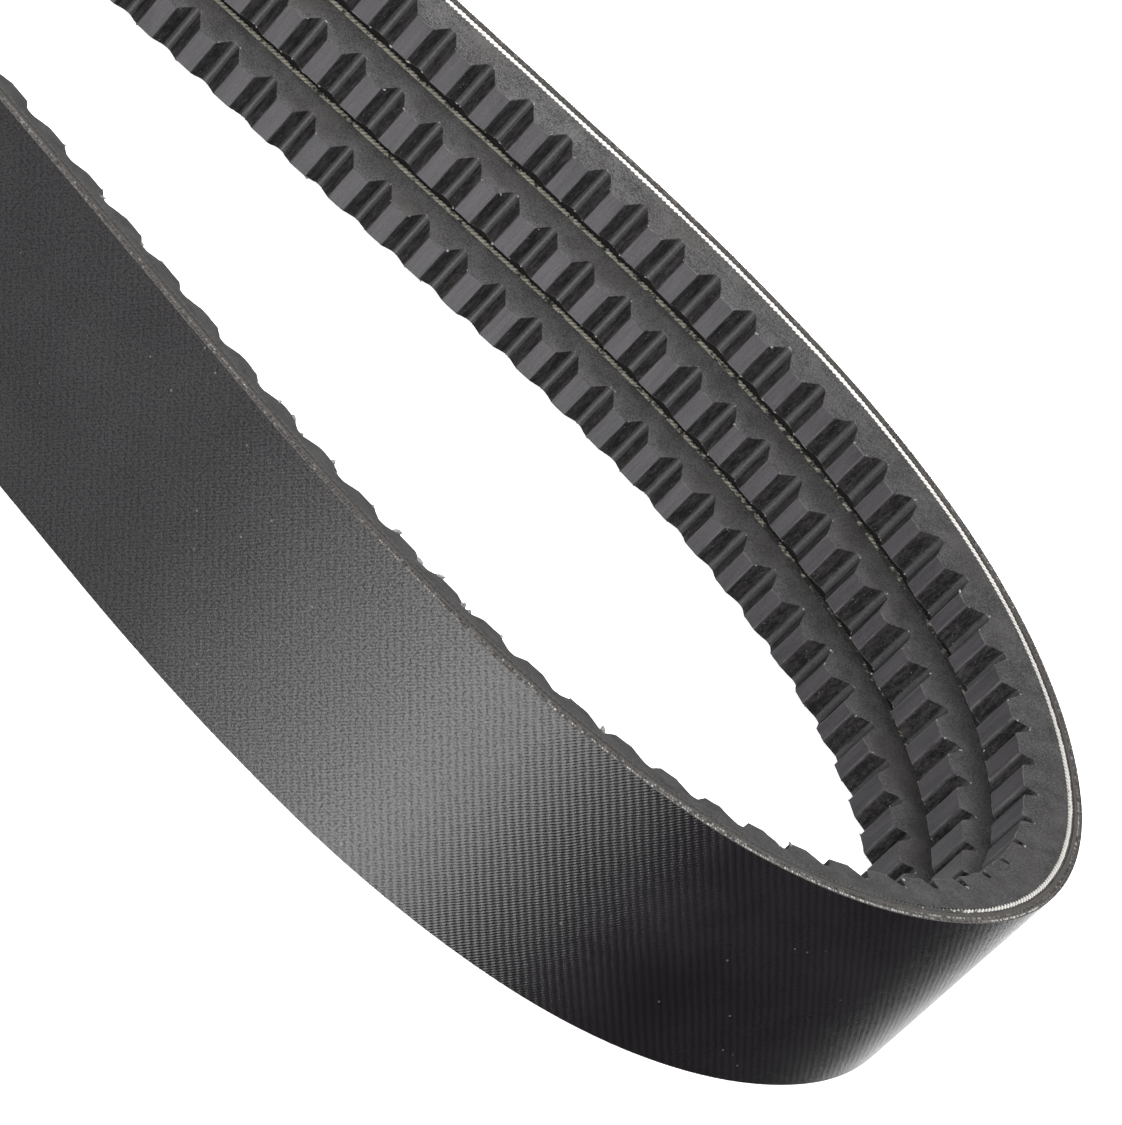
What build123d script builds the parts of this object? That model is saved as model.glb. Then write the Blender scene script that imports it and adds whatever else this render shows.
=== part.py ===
from math import cos, radians, sin, tan
import os

from build123d import *

# A joined raw-edge cogged V-belt: three V ribs under one tie band, standing on its edge.
# Units are millimetres.  +Z is up, the ribs face the inside of the loop, the visible
# sharp bend is at +X, and the origin is the bottom centre of the belt's box.

# --- section across the belt ---------------------------------------------------------
rib_letters = ["a", "b", "c"]  # from the top edge down
rib_pitch = 19.05  # centre to centre of the ribs, and of the sheave's grooves
band_width = 2 * rib_pitch + 16.7  # tie band, edge to edge
rib_base_width = 16.2  # rib width at the cord line
flank_angle = 18.0  # each flank against the rib's middle plane, degrees
rib_depth = 9.9  # cord line to the tops of the cogs
band_rise = 3.1  # cord line to the back of the belt

# --- layers ---------------------------------------------------------------------------
ply_thickness = 0.75  # each of the two woven cover plies
cushion_rise = 0.9  # cord line to the outside of the overcord cushion
undercord_depth = 1.1  # cord line to the inside of the undercord cushion

# --- tensile cords --------------------------------------------------------------------
cords_per_rib = 11
cord_radius = 0.55
cord_reach = 7.7  # the rib's middle plane to the centre of its edge cord
groove_radius = 0.57  # the cushions' grooves around the cords

# --- loop, along the cord line ----------------------------------------------------------
# Radius and turn of each bend of half the loop, from the sharp bend on.
half_loop_bends = [(76.0, 25.0), (107.0, 44.0), (154.0, 18.0), (305.0, 11.0)]
end_radius = 49.4  # bend at the far end

# --- cogs -----------------------------------------------------------------------------
cog_count = 108  # even: one cog in the middle of each end of the loop
notch_depth = 4.1
floor_width = 1.5  # the notch's floor, along the belt
open_mouth = 7.0  # gap between two cog tops on the straighter stretches
closed_mouth = 1.6  # the same gap in the middle of a sharp bend, which bunches the cogs
bunched_length = 90.0  # distance from the middle of a bend to fully open notches
corner_radius = 0.6
trim_margin = 1.0  # the rib is swept this much too deep before its cogs are cut

# --- the loop's size, worked out from its bends ---------------------------------------
heading = 90.0
bend_reach = 0.0
half_width = 0.0
bends_length = 0.0
for bend_radius, bend_turn in half_loop_bends:
    next_heading = heading + bend_turn
    bend_reach += bend_radius * (sin(radians(heading)) - sin(radians(next_heading)))
    half_width += bend_radius * (cos(radians(heading)) - cos(radians(next_heading)))
    bends_length += bend_radius * radians(bend_turn)
    heading = next_heading
lean = radians(heading - 180.0)  # each strand closes on the other by this angle
end_turn = 270.0 - heading
straight_length = (half_width - end_radius * cos(lean)) / sin(lean)
loop_reach = bend_reach + straight_length * cos(lean) + end_radius * (1 - sin(lean))
half_loop_length = bends_length + straight_length + end_radius * radians(end_turn)
cog_pitch = 2 * half_loop_length / cog_count
bend_x = loop_reach / 2  # cord line at the sharp bend, with the box centred on the origin

middle_height = band_width / 2
cord_spacing = 2 * cord_reach / (cords_per_rib - 1)
rib_heights = [middle_height + rib_pitch, middle_height, middle_height - rib_pitch]
cord_offsets = [cord_reach - cord_spacing * index for index in range(cords_per_rib)]


def half_loop_edges():
    """Half the cord line, from the sharp bend at +X over +Y to the far end."""
    edges = []
    point = Vector(bend_x, 0)
    direction = Vector(0, 1)
    for radius, turn in half_loop_bends:
        edges.append(JernArc(point, direction, radius, turn))
        point = edges[-1] @ 1
        direction = edges[-1] % 1
    edges.append(Line(point, point + direction * straight_length))
    edges.append(JernArc(edges[-1] @ 1, direction, end_radius, end_turn))
    return edges


def half_width_at(depth):
    """Half the rib's width at a depth below the cord line."""
    return rib_base_width / 2 - depth * tan(radians(flank_angle))


def section_plane(height):
    """Plane across the belt at the sharp bend: x outward from the cord line, y up."""
    return Plane(origin=(bend_x, 0, height), x_dir=(1, 0, 0), z_dir=(0, -1, 0))


def swept_layer(height, outside, inside, outer_half_width, inner_half_width, grooved=False):
    """One layer of the belt, its section carried round the whole cord line."""
    with BuildPart() as layer:
        with BuildLine() as cord_line:
            half_loop_edges()
            mirror(about=Plane.XZ)
        with BuildSketch(section_plane(height)):
            with BuildLine():
                Polyline(
                    (outside, outer_half_width),
                    (inside, inner_half_width),
                    (inside, -inner_half_width),
                    (outside, -outer_half_width),
                    close=True,
                )
            make_face()
            if grooved:
                with Locations([(0, offset) for offset in cord_offsets]):
                    Circle(groove_radius, mode=Mode.SUBTRACT)
        sweep(path=cord_line.wire())
    return layer.part


def tensile_cord(height):
    """One turn of tensile cord at a height, round the whole belt."""
    with BuildPart() as cord:
        with BuildLine() as cord_line:
            half_loop_edges()
            mirror(about=Plane.XZ)
        with BuildSketch(section_plane(height)):
            Circle(cord_radius)
        sweep(path=cord_line.wire())
    return cord.part


def mouth_at(distance):
    """Gap between two cog tops at a distance from the sharp bend along the cord line."""
    from_bend = min(distance, half_loop_length - distance)
    openness = min(1.0, from_bend / bunched_length)
    return closed_mouth + (open_mouth - closed_mouth) * openness


def cog_outline():
    """Corners of all the cogs and notches, round the inside of the belt."""
    with BuildLine(mode=Mode.PRIVATE) as cord_line:
        half_loop_edges()
    line = cord_line.wire()
    floor_depth = rib_depth - notch_depth
    corners = []
    for notch in range(cog_count // 2):
        distance = (notch + 0.5) * cog_pitch
        centre = line.position_at(distance / half_loop_length)
        along = line.tangent_at(distance / half_loop_length)
        inward = along.rotate(Axis.Z, 90)
        half_mouth = mouth_at(distance) / 2
        steps = [
            (-half_mouth, rib_depth),
            (-floor_width / 2, floor_depth),
            (floor_width / 2, floor_depth),
            (half_mouth, rib_depth),
        ]
        corners += [centre + along * step + inward * depth for step, depth in steps]
    return corners + [Vector(corner.X, -corner.Y) for corner in reversed(corners)]


def cog_rubber(height):
    """The rib's rubber below the undercord cushion, with its moulded cogs."""
    deepest = rib_depth + trim_margin
    with BuildPart() as rubber:
        add(
            swept_layer(
                height,
                -undercord_depth,
                -deepest,
                half_width_at(undercord_depth),
                half_width_at(deepest),
            )
        )
        with BuildSketch(Plane.XY.offset(height - rib_base_width / 2)) as inside:
            with BuildLine():
                Polyline(cog_outline(), close=True)
            make_face()
            fillet(inside.vertices(), radius=corner_radius)
        extrude(amount=rib_base_width, mode=Mode.SUBTRACT)
    return rubber.part


def save(name, solid):
    """Write one named piece."""
    solid.label = name
    export_step(solid, f"parts/{name}.step")


os.makedirs("parts", exist_ok=True)

# --- tie band --------------------------------------------------------------------------
ply_joint = band_rise - ply_thickness
band_inside = band_rise - 2 * ply_thickness
half_band = band_width / 2
save("cover_ply_outer", swept_layer(middle_height, band_rise, ply_joint, half_band, half_band))
save("cover_ply_inner", swept_layer(middle_height, ply_joint, band_inside, half_band, half_band))
save("tie_band_gum", swept_layer(middle_height, band_inside, cushion_rise, half_band, half_band))

# --- ribs ------------------------------------------------------------------------------
upper_rib_rubber = cog_rubber(rib_heights[0])
half_base = half_width_at(0)
for letter, height in zip(rib_letters, rib_heights):
    cushion = swept_layer(height, cushion_rise, 0, half_base, half_base, grooved=True)
    save(f"rib_{letter}_overcord_cushion", cushion)
    lower_half_width = half_width_at(undercord_depth)
    cushion = swept_layer(height, 0, -undercord_depth, half_base, lower_half_width, grooved=True)
    save(f"rib_{letter}_undercord_cushion", cushion)
    save(f"rib_{letter}_cog_rubber", Pos(0, 0, height - rib_heights[0]) * upper_rib_rubber)
    for number, offset in enumerate(cord_offsets, start=1):
        save(f"rib_{letter}_tensile_cord_{number:02d}", tensile_cord(height + offset))
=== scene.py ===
from math import cos, pi, radians, sin, tan

import bpy
import numpy as np
from mathutils import Matrix, Vector


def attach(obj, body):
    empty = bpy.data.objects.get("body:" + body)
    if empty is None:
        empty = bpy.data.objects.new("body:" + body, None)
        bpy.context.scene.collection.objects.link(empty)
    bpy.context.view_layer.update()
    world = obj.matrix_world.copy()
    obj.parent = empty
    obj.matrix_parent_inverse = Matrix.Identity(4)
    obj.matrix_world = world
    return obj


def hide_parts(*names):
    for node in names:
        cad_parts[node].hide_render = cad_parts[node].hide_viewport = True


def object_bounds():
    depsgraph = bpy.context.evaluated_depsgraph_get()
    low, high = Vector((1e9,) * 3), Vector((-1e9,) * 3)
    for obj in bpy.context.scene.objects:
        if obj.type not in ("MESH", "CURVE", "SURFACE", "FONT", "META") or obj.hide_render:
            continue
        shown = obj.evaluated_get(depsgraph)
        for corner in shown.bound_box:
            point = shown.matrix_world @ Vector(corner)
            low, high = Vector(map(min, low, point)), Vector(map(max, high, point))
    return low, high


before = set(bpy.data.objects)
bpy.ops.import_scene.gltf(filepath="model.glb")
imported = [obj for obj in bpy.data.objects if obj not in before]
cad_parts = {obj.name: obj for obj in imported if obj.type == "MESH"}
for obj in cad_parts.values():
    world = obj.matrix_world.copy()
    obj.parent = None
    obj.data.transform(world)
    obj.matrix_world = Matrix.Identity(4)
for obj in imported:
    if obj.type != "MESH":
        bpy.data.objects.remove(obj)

# A joined raw-edge cogged V-belt: three V ribs under one woven tie band, standing on its edge.
# Lengths are millimetres until a mesh is made; meshes are in metres.  A point of the belt is
# (distance along the cord line, depth below it towards the inside of the loop, height).

cad_low, cad_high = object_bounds()
MM = 0.001

# --- section ------------------------------------------------------------------------------
RIB_PITCH = 19.05
BAND_WIDTH = 54.8
RIB_BASE_HALF = 8.1
FLANK_SLOPE = tan(radians(18.0))
RIB_DEPTH = 9.9
BAND_RISE = 3.1
PLY_THICKNESS = 0.75
CUSHION_RISE = 0.9
UNDERCORD_DEPTH = 1.1
CORD_REACH = 7.7
RIB_LETTERS = "abc"
RIB_MIDDLES = [BAND_WIDTH / 2 + RIB_PITCH, BAND_WIDTH / 2, BAND_WIDTH / 2 - RIB_PITCH]

# --- loop: radius and turn of each bend of half the loop, from the wide bend on -------------
HALF_LOOP_BENDS = [(76.0, 25.0), (107.0, 44.0), (154.0, 18.0), (305.0, 11.0)]
END_RADIUS = 49.4

# --- cogs ---------------------------------------------------------------------------------
COG_COUNT = 108
BUNCHED_LENGTH = 90.0
# Each pair is the size of a notch that a sharp bend closes, then of a notch that lies open.
NOTCH_DEPTH = (2.4, 4.1)
NOTCH_MOUTH = (1.2, 7.0)
FLOOR_HALF = (0.45, 0.75)
CORNER_RADIUS = (1.9, 0.5)
LAND_STUB = (3.4, 2.0)
FLOOR_RADIUS = 1.0
CORNER_SHARE = 0.8
# Points round a land's corner, round a notch floor's corner, down a wall and across a land.
CORNER_POINTS, FLOOR_POINTS, WALL_POINTS, LAND_POINTS = 5, 4, 9, 8


def loop_table():
    """Start point, heading and curvature of each run of the cord line, once round."""
    heading = 90.0
    width, half = 0.0, []
    for radius, turn in HALF_LOOP_BENDS:
        after = heading + turn
        width += radius * (cos(radians(heading)) - cos(radians(after)))
        half.append((radius * radians(turn), 1 / radius))
        heading = after
    lean = radians(heading - 180.0)
    straight = (width - END_RADIUS * cos(lean)) / sin(lean)
    half.append((straight, 0.0))
    half.append((END_RADIUS * radians(270.0 - heading), 1 / END_RADIUS))
    rows = []
    start, x, y, angle = 0.0, cad_high.x / MM - BAND_RISE, 0.0, pi / 2
    for length, bend in half + half[::-1]:
        rows.append((start, x, y, angle, bend))
        start += length
        after = angle + bend * length
        if bend:
            x += (sin(after) - sin(angle)) / bend
            y -= (cos(after) - cos(angle)) / bend
        else:
            x += cos(angle) * length
            y += sin(angle) * length
        angle = after
    return np.array(rows), start


LOOP, LOOP_LENGTH = loop_table()
COG_PITCH = LOOP_LENGTH / COG_COUNT


def place(along, depth, height):
    """Points of the belt in metres, from arrays that broadcast together."""
    along, depth, height = np.broadcast_arrays(along, depth, height)
    around = np.mod(along, LOOP_LENGTH)
    row = LOOP[np.searchsorted(LOOP[:, 0], around, side="right") - 1]
    start, x0, y0, angle0, bend = np.moveaxis(row, -1, 0)
    run = around - start
    angle = angle0 + bend * run
    safe = np.where(bend > 0, bend, 1.0)
    x = x0 + np.where(bend > 0, (np.sin(angle) - np.sin(angle0)) / safe, np.cos(angle0) * run)
    y = y0 - np.where(bend > 0, (np.cos(angle) - np.cos(angle0)) / safe, -np.sin(angle0) * run)
    x = x - np.sin(angle) * depth
    y = y + np.cos(angle) * depth
    return np.stack([x, y, height + 0.0 * x], -1) * MM


def near_strand(along, start, end):
    """0 on the far strand and round the wide bend, 1 past `end` on the near strand."""
    back = LOOP_LENGTH - np.mod(along, LOOP_LENGTH)
    return np.where(back < LOOP_LENGTH / 2, np.interp(back, [start, end], [0.0, 1.0]), 0.0)


def bend_at(along):
    """Curvature of the cord line."""
    return LOOP[np.searchsorted(LOOP[:, 0], np.mod(along, LOOP_LENGTH), side="right") - 1, 4]


# The noise's lattice starts this far below zero, and its lanes are this far apart.
LATTICE_MARGIN = 100.0
LANE_WIDTH = 5.0


def smooth_noise(along, across, cell_along, cell_across, seed):
    """Soft noise from -1 to 1 over the belt, closed round the loop."""
    rng = np.random.default_rng(seed)
    columns = max(2, round(LOOP_LENGTH / cell_along))
    u = np.mod(along, LOOP_LENGTH) / LOOP_LENGTH * columns
    v = (across + LATTICE_MARGIN) / cell_across
    rows = int(np.max(v)) + 3
    lattice = rng.uniform(-1, 1, (columns, rows))
    i, j = np.floor(u).astype(int), np.floor(v).astype(int)
    fu, fv = u - i, v - j
    fu, fv = fu * fu * (3 - 2 * fu), fv * fv * (3 - 2 * fv)
    i0, i1 = i % columns, (i + 1) % columns
    low = lattice[i0, j] * (1 - fu) + lattice[i1, j] * fu
    high = lattice[i0, j + 1] * (1 - fu) + lattice[i1, j + 1] * fu
    return low * (1 - fv) + high * fv


def noise_along(along, cell, seed, lane=0.0):
    """Soft noise that changes only along the belt; each lane is a row of its own."""
    return smooth_noise(along, np.full_like(along, lane), cell, LANE_WIDTH, seed)


def outward(points, faces):
    """True where the faces wind so that the shell's volume is positive."""
    volume = 0.0
    for corner in range(1, faces.shape[1] - 1):
        a, b, c = (points[faces[:, k]] for k in (0, corner, corner + 1))
        volume += np.einsum("ij,ij->", a, np.cross(b, c))
    return volume > 0


def new_mesh(name, points, groups, material, uv=None, sharp=40.0):
    """A smooth-shaded mesh object from points and groups of faces of equal side counts."""
    if not outward(points, groups[0]):
        groups = [faces[:, ::-1] for faces in groups]
        if uv is not None:
            uv = uv.reshape(-1, 4, 2)[:, ::-1].reshape(-1, 2)
    mesh = bpy.data.meshes.new(name)
    sides = np.concatenate([np.full(len(faces), faces.shape[1]) for faces in groups])
    corners = np.concatenate([faces.ravel() for faces in groups])
    mesh.vertices.add(len(points))
    mesh.vertices.foreach_set("co", points.astype(np.float32).ravel())
    mesh.loops.add(len(corners))
    mesh.loops.foreach_set("vertex_index", corners.astype(np.int32))
    mesh.polygons.add(len(sides))
    starts = np.concatenate([[0], np.cumsum(sides)[:-1]])
    mesh.polygons.foreach_set("loop_start", starts.astype(np.int32))
    mesh.update(calc_edges=True)
    if uv is not None:
        layer = mesh.uv_layers.new(name="belt")
        layer.data.foreach_set("uv", uv.astype(np.float32).ravel())
    mesh.polygons.foreach_set("use_smooth", np.ones(len(sides), bool))
    mesh.set_sharp_from_angle(angle=radians(sharp))
    thing = bpy.data.objects.new(name, mesh)
    bpy.context.scene.collection.objects.link(thing)
    mesh.materials.append(material)
    return thing


def ring_faces(columns, ring):
    """Quads of a grid that is closed both along the belt and round its section."""
    i, j = np.meshgrid(np.arange(columns), np.arange(ring), indexing="ij")
    i1, j1 = (i + 1) % columns, (j + 1) % ring
    quads = np.stack([i * ring + j, i * ring + j1, i1 * ring + j1, i1 * ring + j], -1)
    return quads.reshape(-1, 4)


def ring_uv(along, columns, ring, across):
    """(distance along, distance across) in metres at each face corner, unbroken at the seam."""
    i, j = np.meshgrid(np.arange(columns), np.arange(ring), indexing="ij")
    ends = np.append(along, along[0] + LOOP_LENGTH)
    j1 = np.minimum(j + 1, ring - 1)
    u = np.stack([ends[i], ends[i], ends[i + 1], ends[i + 1]], -1)
    v = np.stack([across[j], across[j1], across[j1], across[j]], -1)
    return np.stack([u, v], -1).reshape(-1, 2) * MM


def paint(thing, name, values):
    """A number per vertex, for the materials."""
    layer = thing.data.attributes.new(name, "FLOAT", "POINT")
    layer.data.foreach_set("value", values.astype(np.float32).ravel())


def finish_piece(piece, slot, *nodes):
    """Fixes a piece to the belt's body, hides the CAD nodes it stands for; `slot` is not used."""
    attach(piece, "root")
    if nodes:
        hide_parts(*nodes)
    return piece


# ==========================================================================================
# Materials
# ==========================================================================================
class Paint:
    """A procedural material: each call adds one node and returns its first output."""

    def __init__(self, name):
        self.material = bpy.data.materials.new(name)
        self.material.use_nodes = True
        self.tree = self.material.node_tree
        self.surface = self.tree.nodes["Principled BSDF"]

    def give(self, socket, value):
        if isinstance(value, bpy.types.NodeSocket):
            self.tree.links.new(value, socket)
        elif value is not None:
            socket.default_value = value

    def node(self, kind, output=0, inputs=(), **settings):
        made = self.tree.nodes.new(kind)
        for key, value in settings.items():
            setattr(made, key, value)
        for key, value in dict(inputs).items():
            self.give(made.inputs[key], value)
        return made.outputs[output]

    def object_point(self, stretch=(1.0, 1.0, 1.0)):
        point = self.node("ShaderNodeTexCoord", "Object")
        return self.node("ShaderNodeMapping", inputs={"Vector": point, "Scale": stretch})

    def belt_point(self):
        point = self.node("ShaderNodeUVMap", uv_map="belt")
        return self.node("ShaderNodeMapping", inputs={"Vector": point})

    def noise(self, point, cell_mm, detail=3.0, rough=0.55):
        inputs = {"Vector": point, "Scale": 1 / (cell_mm * MM), "Detail": detail, "Roughness": rough}
        return self.node("ShaderNodeTexNoise", "Fac", inputs=inputs)

    def spots(self, point, cell_mm):
        inputs = {"Vector": point, "Scale": 1 / (cell_mm * MM)}
        return self.node("ShaderNodeTexVoronoi", "Distance", inputs=inputs)

    def math(self, operation, a, b=None, c=None):
        made = self.tree.nodes.new("ShaderNodeMath")
        made.operation = operation
        for index, value in enumerate((a, b, c)):
            if value is not None:
                self.give(made.inputs[index], value)
        return made.outputs[0]

    def spread(self, value, low, high, to_low=0.0, to_high=1.0):
        inputs = {"Value": value, "From Min": low, "From Max": high}
        inputs |= {"To Min": to_low, "To Max": to_high}
        return self.node("ShaderNodeMapRange", inputs=inputs)

    def blend(self, share, a, b):
        made = self.tree.nodes.new("ShaderNodeMix")
        made.data_type = "RGBA"
        self.give(made.inputs["Factor"], share)
        self.give(made.inputs["A"], a)
        self.give(made.inputs["B"], b)
        return made.outputs["Result"]

    def attribute(self, name):
        return self.node("ShaderNodeAttribute", "Fac", attribute_name=name)

    def bump(self, height, rise_mm, strength=1.0, under=None):
        inputs = {"Height": height, "Distance": rise_mm * MM, "Strength": strength}
        made = self.node("ShaderNodeBump", inputs=inputs)
        if under is not None:
            self.give(made.node.inputs["Normal"], under)
        return made

    def set(self, **values):
        names = {"color": "Base Color", "rough": "Roughness", "normal": "Normal",
                 "gloss": "Specular IOR Level", "sheen": "Sheen Weight"}
        for key, value in values.items():
            self.give(self.surface.inputs[names[key]], value)
        return self.material


def rgb(red, green, blue):
    return (red, green, blue, 1.0)


# Cover fabric: its gum and cloth, dust on it, and its chopped edge.
COVER_GUM = rgb(0.0045, 0.0038, 0.0046)
COVER_CLOTH = rgb(0.0125, 0.0110, 0.0128)
COVER_DUST = rgb(0.30, 0.29, 0.27)
CHOPPED_DARK = rgb(0.028, 0.025, 0.023)
CHOPPED_PALE = rgb(0.105, 0.095, 0.088)
# Cut flanks: their rubber, brownish stains and cut fibres.
FLANK_DARK = rgb(0.020, 0.0195, 0.020)
FLANK_PALE = rgb(0.160, 0.155, 0.156)
FLANK_STAIN = rgb(0.088, 0.074, 0.072)
FLANK_FIBRE = rgb(0.30, 0.29, 0.28)
# Cogs: lands, notch walls (darker partly as painted shade in the notches) and their chips, floor
# ridges, a painted highlight along the corners, and worn edges.
LAND_DARK = rgb(0.0085, 0.0077, 0.0092)
LAND_PALE = rgb(0.040, 0.036, 0.042)
LAND_FADED = rgb(0.034, 0.032, 0.034)
WALL_DARK_SHADED = rgb(0.0065, 0.0060, 0.0062)
WALL_PALE = rgb(0.046, 0.043, 0.043)
WALL_CHIP = rgb(0.17, 0.165, 0.165)
RIDGE_DARK = rgb(0.014, 0.013, 0.014)
RIDGE_PALE = rgb(0.042, 0.040, 0.042)
CREST_HIGHLIGHT = rgb(0.100, 0.096, 0.096)
WORN_EDGE = rgb(0.20, 0.195, 0.19)
# Cords under gum, and the tie gum with its stains and the painted shade at the grooves' bottom.
SMEAR_DARK = rgb(0.020, 0.019, 0.018)
SMEAR_PALE = rgb(0.058, 0.056, 0.054)
TIE_DARK = rgb(0.030, 0.027, 0.025)
TIE_PALE = rgb(0.080, 0.074, 0.068)
TIE_STAIN = rgb(0.055, 0.045, 0.048)
GROOVE_SHADE = rgb(0.007, 0.0065, 0.006)
# Yarn ends and crumbs.
END_GUMMED = rgb(0.022, 0.021, 0.020)
END_CLEAN = rgb(0.40, 0.39, 0.37)
CRUMB_DARK = rgb(0.09, 0.088, 0.085)
CRUMB_PALE = rgb(0.38, 0.37, 0.36)

# The cover's cords lie on the bias: rows of pits, and the angle of the rows from the height.
ROW_PITCH = 1.48
PIT_PITCH = 0.62
ROW_ANGLE = radians(40.0)
ROW_WANDER = 0.22
# The rows stand out round the wide bend and sink into the gum along the strands.
ROWS_STAND, ROWS_SINK, SUNK_ROWS = 125.0, 175.0, 0.25


def woven_cover():
    """Rubberised cover fabric, its threads laid on the bias."""
    p = Paint("woven_cover")
    point = p.belt_point()
    parts = p.node("ShaderNodeSeparateXYZ", inputs={"Vector": point}).node.outputs
    wander = p.spread(p.noise(point, 9.0, 3.0), 0.3, 0.7, -ROW_WANDER * MM, ROW_WANDER * MM)
    along = p.math("ADD", parts["X"], wander)
    row = p.math("ADD", p.math("MULTIPLY", along, cos(ROW_ANGLE)),
                 p.math("MULTIPLY", parts["Y"], sin(ROW_ANGLE)))
    pit = p.math("SUBTRACT", p.math("MULTIPLY", along, sin(ROW_ANGLE)),
                 p.math("MULTIPLY", parts["Y"], cos(ROW_ANGLE)))
    warp = p.math("COSINE", p.math("MULTIPLY", row, 2 * pi / (ROW_PITCH * MM)))
    shift = p.math("MULTIPLY", row, pi / (ROW_PITCH * MM))
    weft = p.math("COSINE", p.math("MULTIPLY_ADD", pit, 2 * pi / (PIT_PITCH * MM), shift))
    far = p.spread(parts["X"], ROWS_STAND * MM, ROWS_SINK * MM, 1.0, SUNK_ROWS)
    sink, stand = LOOP_LENGTH - ROWS_SINK, LOOP_LENGTH - ROWS_STAND
    near = p.spread(parts["X"], sink * MM, stand * MM, SUNK_ROWS, 1.0)
    share = p.math("MAXIMUM", far, near)
    weave = p.math("SUBTRACT", p.math("MULTIPLY", weft, 0.42), p.math("MULTIPLY", warp, 0.64))
    weave = p.math("MULTIPLY", weave, share)
    fuzz = p.noise(point, 0.35, 2.0)
    grain = p.spread(p.noise(point, 0.50, 2.0, 0.6), 0.41, 0.59, -1.0, 1.0)
    patches = p.noise(point, 26.0, 4.0)
    gum = p.noise(point, 3.2, 3.0)
    relief = p.math("MULTIPLY_ADD", fuzz, 1.4, weave)
    filled = p.spread(gum, 0.35, 0.7, 1.0, 0.75)
    bumps = p.bump(p.math("MULTIPLY", relief, filled), 0.042, 0.8)
    tone = p.spread(p.math("MULTIPLY_ADD", patches, 0.7, p.math("MULTIPLY", weave, 0.12)), 0.2, 0.75)
    color = p.blend(tone, COVER_GUM, COVER_CLOTH)
    specks = p.spread(p.spots(point, 5.5), 0.035, 0.05, 1.0, 0.0)
    color = p.blend(p.math("MULTIPLY", specks, 0.20), color, COVER_DUST)
    cut = p.attribute("cut_edge")
    chopped = p.spread(p.noise(p.object_point(), 0.5, 4.0, 0.75), 0.35, 0.70)
    color = p.blend(cut, color, p.blend(chopped, CHOPPED_DARK, CHOPPED_PALE))
    rough = p.math("MULTIPLY_ADD", cut, 0.5, p.spread(patches, 0.3, 0.7, 0.24, 0.30))
    grainy = p.math("MULTIPLY_ADD", p.math("SUBTRACT", 1.25, share), grain, weave)
    pits = p.spread(grainy, -1.0, 0.3, 0.26, 0.60)
    return p.set(color=color, rough=rough, normal=bumps, gloss=pits)


# Metres between which painted shade darkens the cut flanks: towards the wide bend, and to the
# near strand.
PAINTED_SHADE_X = (0.08, 0.20)
PAINTED_SHADE_Y = (-0.03, 0.01)


def cut_rubber(name, level, bend_shade, near, speckle):
    """Cut rubber filled with chopped fibre, with painted light and shade in its tone.

    `level` is its brightness, painted higher on the inner ribs' copy against the shade under the
    rib above; `bend_shade` and `near` scale it as painted shade round the wide bend and on the near
    strand, and `speckle` is its contrast.
    """
    p = Paint(name)
    point = p.object_point()
    parts = p.node("ShaderNodeSeparateXYZ", inputs={"Vector": point}).node.outputs
    fine = p.noise(point, 0.42, 3.0, 0.85)
    patches = p.noise(point, 5.0, 4.0, 0.6)
    warm = p.noise(point, 17.0, 2.0)
    fibre = p.noise(p.object_point((1.0, 1.0, 0.35)), 0.26, 2.0, 0.6)
    tone = p.math("MULTIPLY_ADD", patches, 0.30, p.math("MULTIPLY", fine, 1.1))
    tone = p.spread(tone, 0.60, 0.80, 0.5 - speckle / 2, 0.5 + speckle / 2)
    color = p.blend(tone, FLANK_DARK, FLANK_PALE)
    color = p.blend(p.spread(warm, 0.52, 0.7, 0.0, 0.40), color, FLANK_STAIN)
    flecks = p.spread(fibre, 0.66, 0.76)
    color = p.blend(p.math("MULTIPLY", flecks, 0.45), color, FLANK_FIBRE)
    # Painted shade: darker round the wide bend and on the near strand.
    far = p.spread(parts["X"], *PAINTED_SHADE_X, level, level * bend_shade)
    share = p.spread(parts["Y"], *PAINTED_SHADE_Y)
    scale = p.math("ADD", p.math("MULTIPLY", far, share),
                   p.math("MULTIPLY", p.math("SUBTRACT", 1.0, share), level * near))
    color = p.blend(scale, rgb(0.0, 0.0, 0.0), color)
    bumps = p.bump(p.math("ADD", fine, p.math("MULTIPLY", fibre, 0.7)), 0.10, 0.8)
    return p.set(color=color, rough=p.spread(fine, 0.3, 0.8, 0.62, 0.85), normal=bumps, gloss=0.3)


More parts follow.
